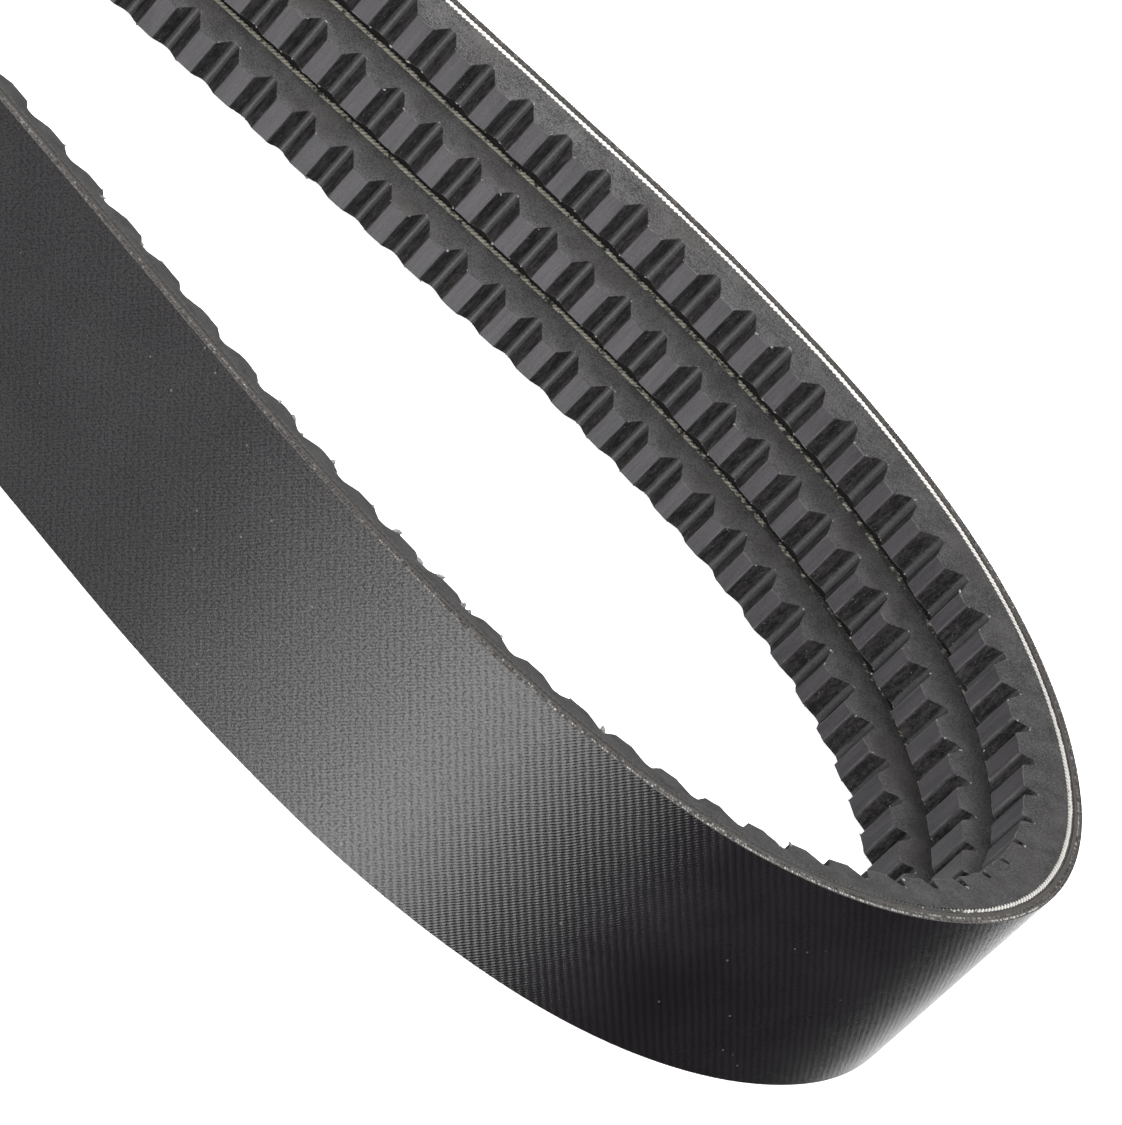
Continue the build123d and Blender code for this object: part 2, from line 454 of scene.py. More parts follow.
def moulded_cog():
    """Moulded rubber of the cogs: smooth lands and notch floors, rough dark notch walls.

    The walls' dark is partly painted shade in the notches, and a painted highlight runs along the
    corners.
    """
    p = Paint("moulded_cog")
    names = ("wall", "stripe", "crest", "edge", "tone")
    wall, stripe, crest, edge, tone = (p.attribute(name) for name in names)
    point = p.object_point()
    streaks = p.noise(p.object_point((1.0, 1.0, 0.06)), 0.7, 4.0, 0.65)
    broad = p.noise(p.object_point((1.0, 1.0, 0.2)), 3.0, 3.0)
    grit = p.noise(p.object_point((1.0, 1.0, 0.45)), 0.50, 4.0, 0.8)
    blotches = p.noise(p.object_point((1.0, 1.0, 0.28)), 1.3, 3.0, 0.7)
    grain = p.noise(point, 0.45, 2.0, 0.8)
    mottle = p.math("ADD", p.math("MULTIPLY", streaks, 0.4), p.math("MULTIPLY", broad, 0.35))
    mottle = p.math("MULTIPLY_ADD", grain, 0.5, mottle)
    smooth = p.blend(p.spread(mottle, 0.47, 0.76), LAND_DARK, LAND_PALE)
    smooth = p.blend(p.math("MULTIPLY", tone, 0.35), smooth, LAND_FADED)
    clods = p.math("MULTIPLY_ADD", blotches, 0.55, p.math("MULTIPLY", grit, 0.6))
    # The notch walls' rubber is rough, and darker partly as painted shade in the notches.
    rough_rubber = p.blend(p.spread(clods, 0.50, 0.78), WALL_DARK_SHADED, WALL_PALE)
    chips = p.math("MULTIPLY", wall, p.spread(p.noise(point, 0.6, 2.0, 0.6), 0.68, 0.72))
    color = p.blend(wall, smooth, rough_rubber)
    color = p.blend(p.math("MULTIPLY", chips, 0.6), color, WALL_CHIP)
    ridge = p.blend(p.spread(grain, 0.35, 0.65), RIDGE_DARK, RIDGE_PALE)
    color = p.blend(p.math("MULTIPLY", stripe, 0.85), color, ridge)
    # A painted highlight along the corners of the lands and the notch floors, broken up by noise.
    highlight_breaks = p.spread(p.noise(p.object_point((1.0, 1.0, 0.35)), 2.0, 4.0, 0.7), 0.38, 0.62)
    color = p.blend(p.math("MULTIPLY", p.math("MULTIPLY", crest, highlight_breaks), 0.6), color,
                    CREST_HIGHLIGHT)
    worn = p.math("MULTIPLY", edge, p.spread(p.noise(point, 1.6, 3.0), 0.42, 0.62))
    color = p.blend(p.math("MULTIPLY", worn, 0.55), color, WORN_EDGE)
    bumps = p.bump(p.math("ADD", streaks, p.math("MULTIPLY", grain, 0.6)), 0.05, 0.6)
    bumps = p.bump(p.math("MULTIPLY", grit, p.math("MULTIPLY_ADD", wall, 0.9, 0.1)), 0.25, 0.8, bumps)
    return p.set(color=color, rough=p.spread(wall, 0.0, 1.0, 0.50, 0.9), normal=bumps,
                 gloss=p.spread(wall, 0.0, 1.0, 0.45, 0.15))


def twisted_yarn(name, clean, dirty, dirt_low, dirt_high, crease_color):
    """Twisted tensile cord, its cut filaments bright where gum doesn't cover them."""
    p = Paint(name)
    point = p.object_point()
    filaments = p.noise(point, 0.16, 3.0, 0.7)
    smears = p.noise(point, 2.2, 4.0, 0.7)
    crease, gum, dulled = (p.attribute(n) for n in ("crease", "gum", "dulled"))
    color = p.blend(p.spread(filaments, 0.35, 0.7), dirty, clean)
    # Painted shade darkens the creases between the strands.
    color = p.blend(p.spread(crease, 0.2, 0.75, 0.0, 0.92), color, crease_color)
    covered = p.spread(p.math("MULTIPLY_ADD", gum, 0.45, smears), dirt_low, dirt_high)
    black = p.blend(p.spread(filaments, 0.35, 0.7), SMEAR_DARK, SMEAR_PALE)
    color = p.blend(dulled, color, p.blend(0.5, dirty, crease_color))
    color = p.blend(covered, color, black)
    return p.set(color=color, rough=0.8, normal=p.bump(filaments, 0.08, 0.7), gloss=0.2, sheen=0.1)


def gum_strip():
    """Tie gum between the cover plies and the cords, with painted shade in the grooves between ribs."""
    p = Paint("tie_gum_cut")
    point = p.object_point()
    fine = p.noise(point, 0.5, 5.0, 0.75)
    patches = p.noise(point, 6.0, 3.0)
    color = p.blend(p.spread(fine, 0.35, 0.7), TIE_DARK, TIE_PALE)
    color = p.blend(p.spread(patches, 0.5, 0.7, 0.0, 0.5), color, TIE_STAIN)
    # Painted shade on the gum's inner face between the ribs.
    color = p.blend(p.attribute("between_ribs"), color, GROOVE_SHADE)
    return p.set(color=color, rough=0.75, normal=p.bump(fine, 0.10, 0.8), gloss=0.25)


def yarn_end_material():
    """Cut ends of the cover fabric's yarns, some pale, some black with gum."""
    p = Paint("cut_yarn_ends")
    tone = p.attribute("tone")
    grain = p.noise(p.object_point(), 0.2, 2.0)
    mixed = p.math("MULTIPLY_ADD", grain, 0.4, p.math("SUBTRACT", tone, 0.2))
    color = p.blend(p.spread(mixed, 0.2, 0.95), END_GUMMED, END_CLEAN)
    return p.set(color=color, rough=0.75, normal=p.bump(grain, 0.04, 0.5), gloss=0.3)


def crumb_material():
    """Shreds of rubber and fibre left by the cutting."""
    p = Paint("trim_crumbs")
    grain = p.noise(p.object_point(), 0.3, 3.0)
    color = p.blend(p.spread(grain, 0.35, 0.65), CRUMB_DARK, CRUMB_PALE)
    return p.set(color=color, rough=0.8, normal=p.bump(grain, 0.05, 0.6))


COVER = woven_cover()
# Two copies of one rubber: the inner ribs' copy is painted lighter against the shade under the rib
# above, and both carry painted shade by place.
TOP_FLANK_SHADED = cut_rubber("cut_flank_top_painted_shade", 0.64, 0.57, 0.62, 1.0)
INNER_FLANK_LIT_AND_SHADED = cut_rubber("cut_flank_inner_painted_light_and_shade", 1.02, 0.70, 0.90, 0.6)
COG = moulded_cog()
BRIGHT_YARN = twisted_yarn("bright_cord_yarn", rgb(0.86, 0.84, 0.80), rgb(0.58, 0.565, 0.53), 0.64, 0.72,
                           rgb(0.10, 0.095, 0.088))
DULL_YARN = twisted_yarn("dull_cord_yarn", rgb(0.60, 0.585, 0.49), rgb(0.22, 0.21, 0.165), 0.54, 0.62,
                         rgb(0.03, 0.028, 0.026))
GUM = gum_strip()
YARN_ENDS = yarn_end_material()
CRUMBS = crumb_material()


# ==========================================================================================
# Tie band
# ==========================================================================================
BAND_STEP = 0.8
BAND_BEVEL = 0.12
BAND_EDGE = 0.3
NEARLY_ZERO = 1e-6
# Half the share of the band's width whose inner face is painted with the grooves' shade.
GROOVE_SHARE = 0.4


def band_layer(name, outside, inside, material, rows, seed, edge_wander, swell):
    """One layer of the tie band as a closed shell, its cut edges slightly uneven."""
    columns = round(LOOP_LENGTH / BAND_STEP)
    along = np.arange(columns) * (LOOP_LENGTH / columns)
    heights = np.linspace(BAND_EDGE, BAND_WIDTH - BAND_EDGE, rows)
    half_way = -(outside + inside) / 2
    section = [(-outside + BAND_BEVEL, 0.0), (-outside, BAND_BEVEL)]
    section += [(-outside, z) for z in heights]
    section += [(-outside, BAND_WIDTH - BAND_BEVEL), (-outside + BAND_BEVEL, BAND_WIDTH)]
    section += [(half_way, BAND_WIDTH), (-inside, BAND_WIDTH)]
    section += [(-inside, BAND_WIDTH * share) for share in (0.75, 0.5, 0.25)]
    section += [(-inside, 0.0), (half_way, 0.0)]
    section = np.array(section)
    s, q = np.meshgrid(along, section[:, 0], indexing="ij")
    z = np.broadcast_to(section[:, 1], s.shape)
    ruffle = edge_wander * smooth_noise(s, z * 0.2, 1.3, 5.0, seed)
    ruffle += edge_wander * smooth_noise(s, z * 0.2, 6.0, 5.0, seed + 1)
    at_edge = (z < NEARLY_ZERO) | (z > BAND_WIDTH - NEARLY_ZERO)
    z = z + np.where(at_edge, np.minimum(ruffle, 0.0) * np.sign(z - BAND_EDGE), 0.0)
    outer = np.abs(q + outside) < NEARLY_ZERO
    wave = smooth_noise(s, z, 16.0, 13.0, seed + 2) + 0.4 * smooth_noise(s, z, 5.0, 4.0, seed + 3)
    q = q - np.where(outer, swell * wave, 0.0)
    faces = ring_faces(columns, len(section))
    uv = ring_uv(along, columns, len(section), section[:, 1])
    layer = new_mesh(name, place(s, q, z).reshape(-1, 3), [faces], material, uv)
    from_middle = np.abs(section[:, 1] / BAND_WIDTH - 0.5)
    between_ribs = (np.abs(section[:, 0] + inside) < NEARLY_ZERO) & (from_middle < GROOVE_SHARE)
    paint(layer, "between_ribs", between_ribs[None] * np.ones((columns, 1)))
    paint(layer, "cut_edge", at_edge * 1.0)
    return layer


PLY_JOINT = BAND_RISE - PLY_THICKNESS
BAND_INSIDE = BAND_RISE - 2 * PLY_THICKNESS
outer_ply = band_layer("woven_cover_back", BAND_RISE, PLY_JOINT, COVER, 46, 11, 0.07, 0.012)
finish_piece(outer_ply, "cover_fabric", "cover_ply_outer")
gum_band = band_layer("tie_gum_band", BAND_INSIDE, CUSHION_RISE, GUM, 4, 21, 0.10, 0.0)
finish_piece(gum_band, "tie_gum", "tie_band_gum")
inner_ply = band_layer("woven_cover_inner", PLY_JOINT, BAND_INSIDE, COVER, 4, 31, 0.12, 0.0)
finish_piece(inner_ply, "cover_fabric", "cover_ply_inner")


# Small parts, such as yarn ends and crumbs, are six-sided domes.
DOME_SIDES = 6
DOME_TURN = np.arange(DOME_SIDES) * 2 * pi / DOME_SIDES


def domes(rings, top, sides):
    """Points and faces of many small closed domes: rings (n, ring, side, 3) and tops (n, 3)."""
    count, levels = rings.shape[:2]
    per = levels * sides + 1
    points = np.concatenate([rings.reshape(count, -1, 3), top[:, None]], 1).reshape(-1, 3)
    first = np.arange(count)[:, None, None] * per
    side = np.arange(sides)
    after = (side + 1) % sides
    quads = []
    for level in range(levels - 1):
        a, b = level * sides + side, level * sides + after
        quads.append((first + np.stack([a, b, b + sides, a + sides], -1)).reshape(-1, 4))
    last = (levels - 1) * sides
    cap = np.stack([last + side, last + after, np.full(sides, per - 1)], -1)
    base = side[::-1][None]
    groups = [np.concatenate(quads), (first + cap).reshape(-1, 3), (first + base).reshape(-1, sides)]
    return points, groups, per


def merged(parts):
    """One set of points and face groups from several."""
    points, groups, base = [], [[], [], []], 0
    for part_points, part_groups in parts:
        for group, faces in zip(groups, part_groups):
            group.append(faces + base)
        points.append(part_points)
        base += len(part_points)
    return np.concatenate(points), [np.concatenate(group) for group in groups]


YARN_PITCH = 0.58
YARN_HALF = 0.25
YARN_STAND = 0.17
YARN_RUN = 22.0
# Share of each dome's half width and of its height, from its foot up.
YARN_RINGS = ((1.0, -0.6), (0.85, 0.5), (0.4, 0.92))
# How pale the yarn ends are, by distance back from the wide bend's tip along the near strand.
PALE_PLACES = [-60.0, 0.0, 25.0, 75.0, 110.0]
PALE_SHARES = [0.5, 0.6, 1.0, 1.0, 0.62]
STRAY_BRIGHT, STRAY_CHANCE = 0.7, 0.12


def yarn_ends(name, rise, seed):
    """Rows of cut yarn ends that stand on both cut edges of one cover ply."""
    rng = np.random.default_rng(seed)
    count = round(LOOP_LENGTH / YARN_PITCH)
    parts, tones = [], []
    for height, up in ((BAND_WIDTH, 1.0), (0.0, -1.0)):
        along = (np.arange(count) + rng.uniform(-0.14, 0.14, count)) * (LOOP_LENGTH / count)
        half_long = YARN_HALF * rng.uniform(0.75, 1.15, count)
        half_deep = YARN_HALF * rng.uniform(0.75, 1.15, count)
        stand = YARN_STAND * rng.uniform(0.3, 1.2, count)
        middle = -rise + rng.uniform(-0.05, 0.05, count)
        rings = []
        for radius, lift in YARN_RINGS:
            a = along[:, None] + half_long[:, None] * radius * np.cos(DOME_TURN)
            d = middle[:, None] + half_deep[:, None] * radius * np.sin(DOME_TURN)
            rings.append(place(a, d, height + up * stand[:, None] * lift + 0 * a))
        top = place(along, middle, height + up * stand)
        points, groups, per = domes(np.stack(rings, 1), top, DOME_SIDES)
        if up < 0:
            groups = [faces[:, ::-1] for faces in groups]
        parts.append((points, groups))
        runs = 0.55 + 0.45 * noise_along(along, YARN_RUN, seed + 5)
        tone = np.clip(runs * rng.uniform(0.2, 1.3, count), 0, 1)
        back = np.where(along > LOOP_LENGTH / 2, LOOP_LENGTH - along, -along)
        pale = np.interp(back, PALE_PLACES, PALE_SHARES)
        stray = rng.uniform(size=count) < STRAY_CHANCE
        tone = tone * pale + STRAY_BRIGHT * (1 - pale) * stray
        tones.append(np.repeat(tone, per))
    thing = new_mesh(name, *merged(parts), YARN_ENDS)
    paint(thing, "tone", np.concatenate(tones))
    return thing


for name, rise, seed in (("outer", PLY_JOINT, 41), ("inner", BAND_INSIDE, 51)):
    ends = yarn_ends(f"cover_yarn_ends_{name}", rise + PLY_THICKNESS / 2, seed)
    finish_piece(ends, "cover_fabric")


# ==========================================================================================
# Cogs
# ==========================================================================================
def rounded(before, corner, after, radius, count):
    """Points of a rounded corner; each argument is an array of (n, 2) points."""
    u, v = before - corner, after - corner
    long_u = np.linalg.norm(u, axis=1, keepdims=True)
    long_v = np.linalg.norm(v, axis=1, keepdims=True)
    u, v = u / long_u, v / long_v
    half_angle = np.arccos(np.clip((u * v).sum(1, keepdims=True), -1, 1)) / 2
    cut = np.minimum(radius / np.tan(half_angle), 0.48 * np.minimum(long_u, long_v))
    t = np.linspace(0, 1, count)[None, :, None]
    start, end = (corner + u * cut)[:, None], (corner + v * cut)[:, None]
    return start * (1 - t) ** 2 + corner[:, None] * 2 * t * (1 - t) + end * t * t


def cog_profile():
    """Along, depth, and what each point belongs to, for every column of the cogs' profile."""
    centre = (np.arange(COG_COUNT) + 0.5) * COG_PITCH
    half_loop = LOOP_LENGTH / 2
    from_bend = np.minimum(np.minimum(centre, LOOP_LENGTH - centre), np.abs(half_loop - centre))
    openness = np.minimum(1.0, from_bend / BUNCHED_LENGTH)

    def between(pair):
        return pair[0] + (pair[1] - pair[0]) * openness

    mouth, floor, stub = between(NOTCH_MOUTH) / 2, between(FLOOR_HALF), between(LAND_STUB)
    corner_radius = CORNER_SHARE * between(CORNER_RADIUS)[:, None]
    top, bottom = np.full(COG_COUNT, RIB_DEPTH), RIB_DEPTH - between(NOTCH_DEPTH)
    land = np.stack([-mouth - stub, top], 1)
    a, b = np.stack([-mouth, top], 1), np.stack([-floor, bottom], 1)
    c, d = np.stack([floor, bottom], 1), np.stack([mouth, top], 1)
    land_after = np.stack([mouth + stub, top], 1)
    arc_a = rounded(land, a, b, corner_radius, CORNER_POINTS)
    arc_b = rounded(a, b, c, FLOOR_RADIUS, FLOOR_POINTS)
    arc_c = rounded(b, c, d, FLOOR_RADIUS, FLOOR_POINTS)
    arc_d = rounded(c, d, land_after, corner_radius, CORNER_POINTS)

    def wall(start, end):
        t = np.linspace(0, 1, WALL_POINTS + 2)[None, 1:-1, None]
        return start[:, -1:] * (1 - t) + end[:, :1] * t

    runs = [arc_a, wall(arc_a, arc_b), arc_b, (arc_b[:, -1:] + arc_c[:, :1]) / 2, arc_c,
            wall(arc_c, arc_d), arc_d]
    kinds = np.concatenate([
        np.linspace(0, 0.5, CORNER_POINTS), np.ones(WALL_POINTS), np.linspace(0.9, 0, FLOOR_POINTS),
        [0.0], np.linspace(0, 0.9, FLOOR_POINTS), np.ones(WALL_POINTS),
        np.linspace(0.5, 0, CORNER_POINTS), np.zeros(LAND_POINTS)])
    stripes = np.zeros(len(kinds))
    middle = CORNER_POINTS + WALL_POINTS + FLOOR_POINTS
    stripes[middle - FLOOR_POINTS + 1:middle + FLOOR_POINTS] = 1.0
    # Crest points carry the painted highlight along the corners.
    crests = np.zeros(len(kinds))
    last = middle + FLOOR_POINTS + 1 + WALL_POINTS
    crests[[1, 2, last + CORNER_POINTS - 3, last + CORNER_POINTS - 2]] = 1.0
    crests[[middle - FLOOR_POINTS + 1, middle + FLOOR_POINTS - 1]] = 0.6
    notch = np.concatenate(runs, 1)
    bend = bend_at(centre)[:, None]
    along = centre[:, None] + notch[:, :, 0] / (1 - bend * notch[:, :, 1])
    depth = notch[:, :, 1]
    ahead = np.append(along[1:, 0], along[0, 0] + LOOP_LENGTH)
    t = np.arange(1, LAND_POINTS + 1) / (LAND_POINTS + 1)
    land_along = along[:, -1:] + (ahead - along[:, -1])[:, None] * t
    along = np.concatenate([along, land_along], 1)
    depth = np.concatenate([depth, np.full(land_along.shape, RIB_DEPTH)], 1)
    count = along.shape[1]
    kinds, stripes, crests = (np.tile(each, COG_COUNT) for each in (kinds, stripes, crests))
    numbers = np.repeat(np.arange(COG_COUNT), count)
    return along.ravel(), depth.ravel(), kinds, stripes, crests, numbers


COG_ALONG, COG_DEPTH, COG_WALL, COG_STRIPE, COG_CREST, COG_NUMBER = cog_profile()
FLANK_ROWS = 9
FACE_ROWS = 21
BEVEL = 0.13
# Burrs stand up at a land's edge and nicks are cut out of it: how high, and how seldom.
BURR_RISE, BURR_FLOOR = 0.16, 0.1
NICK_DEPTH, NICK_FLOOR = 0.5, 0.55
LIP = 0.02
WALL_ROUGHNESS, LAND_WAVE, FLANK_WAVE = 0.15, 0.05, 0.035


def half_width_at(depth):
    return RIB_BASE_HALF - depth * FLANK_SLOPE


def cog_rib(letter, middle, seed):
    """The rib's rubber: cut flanks, and moulded cogs with rough notch walls between them."""
    columns = len(COG_ALONG)
    length = np.concatenate([[0], np.cumsum(np.hypot(np.diff(COG_ALONG), np.diff(COG_DEPTH)))])
    length *= LOOP_LENGTH / length[-1]
    burr = np.maximum(0.0, noise_along(length, 2.3, seed + 7) - BURR_FLOOR) * BURR_RISE
    nick = np.maximum(0.0, noise_along(length, 0.9, seed + 8, 9.0) - NICK_FLOOR) * NICK_DEPTH
    rows_q, rows_z, rows_face = [], [], []
    cut_top = COG_DEPTH - BEVEL - nick
    for k in range(FLANK_ROWS + 1):
        q = UNDERCORD_DEPTH + (cut_top - UNDERCORD_DEPTH) * k / FLANK_ROWS
        rows_q.append(q)
        rows_z.append(half_width_at(q))
        rows_face.append(0.0)
    rows_q.append(COG_DEPTH - LIP + burr - nick * 0.5)
    rows_z.append(half_width_at(COG_DEPTH) - LIP + burr * 0.5 - nick * 0.4)
    rows_face.append(0.5)
    inner = np.linspace(1, -1, FACE_ROWS)
    for t in inner:
        rows_q.append(COG_DEPTH.copy())
        rows_z.append((half_width_at(COG_DEPTH) - BEVEL - nick * 0.4) * t)
        rows_face.append(1.0)
    rows_q += rows_q[FLANK_ROWS + 1:FLANK_ROWS + 2] + rows_q[FLANK_ROWS::-1]
    rows_z += [-z for z in rows_z[FLANK_ROWS + 1:FLANK_ROWS + 2] + rows_z[FLANK_ROWS::-1]]
    rows_face += [0.5] + [0.0] * (FLANK_ROWS + 1)
    q, z = np.stack(rows_q, 1), np.stack(rows_z, 1)
    face = np.array(rows_face)
    ring = len(face)
    s = np.repeat(COG_ALONG[:, None], ring, 1)
    run = np.repeat(length[:, None], ring, 1)
    wall = COG_WALL[:, None] * (face[None] > 0.9)
    inner_rows = (face[None] > 0.9) & (np.abs(z) < half_width_at(COG_DEPTH)[:, None])
    rough = smooth_noise(run, z, 0.75, 0.8, seed + 1) + 0.7 * smooth_noise(run, z, 0.4, 0.5, seed + 2)
    wavy = smooth_noise(run, z, 5.0, 7.0, seed + 3)
    rough = rough * WALL_ROUGHNESS * wall * inner_rows
    q = q + rough * 0.8 + LAND_WAVE * wavy * inner_rows * (1 - wall)
    s = s + rough * 0.5 * np.sign(np.gradient(COG_DEPTH))[:, None]
    on_flank = (face[None] < 0.1) & (np.arange(ring)[None] > 0) & (np.arange(ring)[None] < ring - 1)
    cut = FLANK_WAVE * smooth_noise(s, q * 1.0 + np.sign(z) * 30, 2.4, 1.6, seed + 4)
    z = z + cut * on_flank * np.sign(z)
    faces = ring_faces(columns, ring)
    points = place(s, q, middle + z).reshape(-1, 3)
    rib = new_mesh(f"rib_{letter}_cogs", points, [faces], COG, sharp=50.0)
    rib.data.materials.append(TOP_FLANK_SHADED if letter == "a" else INNER_FLANK_LIT_AND_SHADED)
    row = np.tile(np.arange(ring), columns)
    flank_faces = (row < FLANK_ROWS) | (row >= ring - FLANK_ROWS - 1)
    rib.data.polygons.foreach_set("material_index", flank_faces.astype(np.int32))
    ones = np.ones((1, ring))
    paint(rib, "wall", COG_WALL[:, None] * ones)
    paint(rib, "stripe", COG_STRIPE[:, None] * ones)
    paint(rib, "crest", COG_CREST[:, None] * ones)
    paint(rib, "edge", (np.abs(face - 0.5) < 0.1)[None] * np.ones((columns, 1)))
    rng = np.random.default_rng(seed + 9)
    paint(rib, "tone", rng.uniform(0, 1, COG_COUNT)[COG_NUMBER][:, None] * ones)
    return rib


# Crumbs: the profile's columns that they sit on, how often, their size, and their rings.
CRUMB_COLUMNS = (3, 15, 19, 31)
CRUMB_CHANCE = 0.38
CRUMB_SIZE = (0.06, 0.22)
CRUMB_RINGS = ((0.8, -0.8), (1.0, 0.4), (0.5, 1.0))
# On the near strand some are burrs, larger by this much.
BURR_CHANCE, BURR_GROWTH = 0.45, 1.7


def crumbs(letter, middle, seed):
    """Shreds left at the corners of the notches, where the flank was cut."""
    rng = np.random.default_rng(seed)
    columns = len(COG_ALONG) // COG_COUNT
    picks = []
    for notch in range(COG_COUNT):
        for side in (1, -1):
            for corner in CRUMB_COLUMNS:
                if rng.uniform() < CRUMB_CHANCE:
                    picks.append((notch * columns + corner, side))
    index = np.array([p[0] for p in picks])
    side = np.array([p[1] for p in picks])
    count = len(picks)
    along = COG_ALONG[index] + rng.uniform(-0.5, 0.5, count)
    depth = COG_DEPTH[index] - rng.uniform(0.0, 0.35, count)
    size = rng.uniform(*CRUMB_SIZE, count) * (1 + 0.4 * (rng.uniform(size=count) < 0.15))
    burrs = near_strand(along, 60.0, 110.0) * (rng.uniform(size=count) < BURR_CHANCE)
    size = size * (1 + BURR_GROWTH * burrs)
    stretch = rng.uniform(1.0, 3.0, count)
    tilt = rng.uniform(0, pi, count)
    height = middle + side * half_width_at(depth)
    rings = []
    for radius, lift in CRUMB_RINGS:
        r = size[:, None] * radius * rng.uniform(0.6, 1.3, (count, DOME_SIDES))
        a, d = r * np.cos(DOME_TURN) * stretch[:, None], r * np.sin(DOME_TURN)
        a, d = (a * np.cos(tilt)[:, None] - d * np.sin(tilt)[:, None],
                a * np.sin(tilt)[:, None] + d * np.cos(tilt)[:, None])
        rise = height[:, None] + side[:, None] * size[:, None] * lift
        rings.append(place(along[:, None] + a, depth[:, None] + d, rise + 0 * a))
    top = place(along, depth, height + side * size * 1.1)
    points, groups, _ = domes(np.stack(rings, 1), top, DOME_SIDES)
    return new_mesh(f"rib_{letter}_trim_crumbs", points, groups, CRUMBS)


# ==========================================================================================
# Edge cords
# ==========================================================================================
CORD_LAY, CORD_STEP = 3.6, 0.36
# A strand is four points of the cord's ring: their radius as a share, and how deep in a crease;
# the crease depth also sets painted shade in the cord's colour.
STRAND_RADII = np.array([0.60, 0.90, 1.10, 0.90])
STRAND_CREASES = np.array([1.0, 0.4, 0.0, 0.4])
CORD_RING = 3 * len(STRAND_RADII)
# Round the wide bend the cords are thinner and duller, from here to here.
BEND_CORD, STRAND_CORD = 60.0, 150.0
BEND_THINNING, BEND_DULLING = 0.22, 0.60


def edge_cord(name, middle, side, radius, lean, bulge, gum, material, seed):
    """The cord turn that the cut lays open on a flank: three strands twisted together."""
    columns = round(LOOP_LENGTH / CORD_STEP)
    twists = round(LOOP_LENGTH / CORD_LAY)
    along = np.arange(columns) * (LOOP_LENGTH / columns)
    slot = np.arange(CORD_RING)
    depth_of = STRAND_RADII[slot % len(STRAND_RADII)]
    twist = along / LOOP_LENGTH * twists * 2 * pi
    turn = twist[:, None] + slot[None] * 2 * pi / CORD_RING
    swell = 1 + 0.13 * noise_along(along, 2.4, seed)[:, None]
    fray = 0.04 * smooth_noise(along[:, None], slot[None] * 5.0 + 0 * turn, 0.7, 5.0, seed + 1)
    from_bend = np.minimum(along, LOOP_LENGTH - along)
    bent = np.interp(from_bend, [BEND_CORD, STRAND_CORD], [1.0, 0.0])[:, None]
    thin = 1.0 - BEND_THINNING * bent
    r = radius * depth_of * swell * thin + fray
    wander = 0.07 * noise_along(along, 7.0, seed + 2)[:, None]
    q = r * np.sin(turn) + wander - lean
    z = CORD_REACH + r * np.cos(turn)
    limit = half_width_at(np.maximum(q, 0.0)) + bulge - 0.06 * (depth_of < 1)
    z = np.minimum(z, limit)
    faces = ring_faces(columns, CORD_RING)
    points = place(along[:, None], q, middle + side * z).reshape(-1, 3)
    cord = new_mesh(name, points, [faces], material, sharp=75.0)
    ones = np.ones((1, CORD_RING))
    # The painted crease shade is deeper round the wide bend.
    creases = STRAND_CREASES[slot % len(STRAND_CREASES)][None]
    paint(cord, "crease", creases * (0.5 + 0.5 * bent))
    paint(cord, "dulled", BEND_DULLING * bent * ones)
    paint(cord, "gum", gum(along)[:, None] * ones)
    return cord


def gum_on_bright(along):
    """Gum is smeared over the outermost cords all along the near strand."""
    return near_strand(along, 25.0, 60.0)


def gum_on_dull(along):
    """The inner cords show on the far strand and are black round the wide bend."""
    return np.interp(along, [0.0, 90.0, 230.0, LOOP_LENGTH / 2], [0.55, 0.35, 0.0, 0.0])


# Radius, lean towards the band, how far it stands proud of the flank, gum, and yarn.
OUTERMOST_CORD_STYLE = (0.74, 0.0, 0.24, gum_on_bright, BRIGHT_YARN)
INNER_CORD_STYLE = (0.80, 0.42, 0.42, gum_on_dull, DULL_YARN)
for number, (letter, middle) in enumerate(zip(RIB_LETTERS, RIB_MIDDLES)):
    seed = 100 * (number + 1)
    finish_piece(cog_rib(letter, middle, seed), "cog_rubber", f"rib_{letter}_cog_rubber")
    finish_piece(crumbs(letter, middle, seed + 20), "cog_rubber")
    for side, word, end in ((1, "upper", "01"), (-1, "lower", "11")):
        outermost = (letter, side) in (("a", 1), ("c", -1))
        style = OUTERMOST_CORD_STYLE if outermost else INNER_CORD_STYLE
        cord = edge_cord(f"rib_{letter}_edge_cord_{word}", middle, side, *style, seed + 30 + side)
        finish_piece(cord, "cord", f"rib_{letter}_tensile_cord_{end}")

# --- CAD layers that keep their shape ---------------------------------------------------------
for node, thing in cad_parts.items():
    if "cushion" in node or "tensile_cord" in node:
        flank = TOP_FLANK_SHADED if node.startswith("rib_a") else INNER_FLANK_LIT_AND_SHADED
        thing.data.materials.clear()
        thing.data.materials.append(flank if "cushion" in node else DULL_YARN)

# ==========================================================================================
# Floor, light and camera
# ==========================================================================================
def lit_floor():
    """A pale sheet with a soft light of its own, so that shadows on it stay faint."""
    p = Paint("pale_floor")
    p.surface.inputs["Emission Color"].default_value = rgb(1.0, 1.0, 1.0)
    p.surface.inputs["Emission Strength"].default_value = FLOOR_GLOW
    return p.set(color=rgb(0.86, 0.86, 0.86), rough=0.9, gloss=0.2)


def flat_sheet(name, centre, across, along, material):
    """A flat rectangle from its centre and its two half sides."""
    centre, across, along = Vector(centre), Vector(across), Vector(along)
    mesh = bpy.data.meshes.new(name)
    corners = [centre - across - along, centre + across - along,
               centre + across + along, centre - across + along]
    mesh.from_pydata([tuple(c) for c in corners], [], [(0, 1, 2, 3)])
    mesh.materials.append(material)
    sheet = bpy.data.objects.new(name, mesh)
    bpy.context.scene.collection.objects.link(sheet)
    return sheet


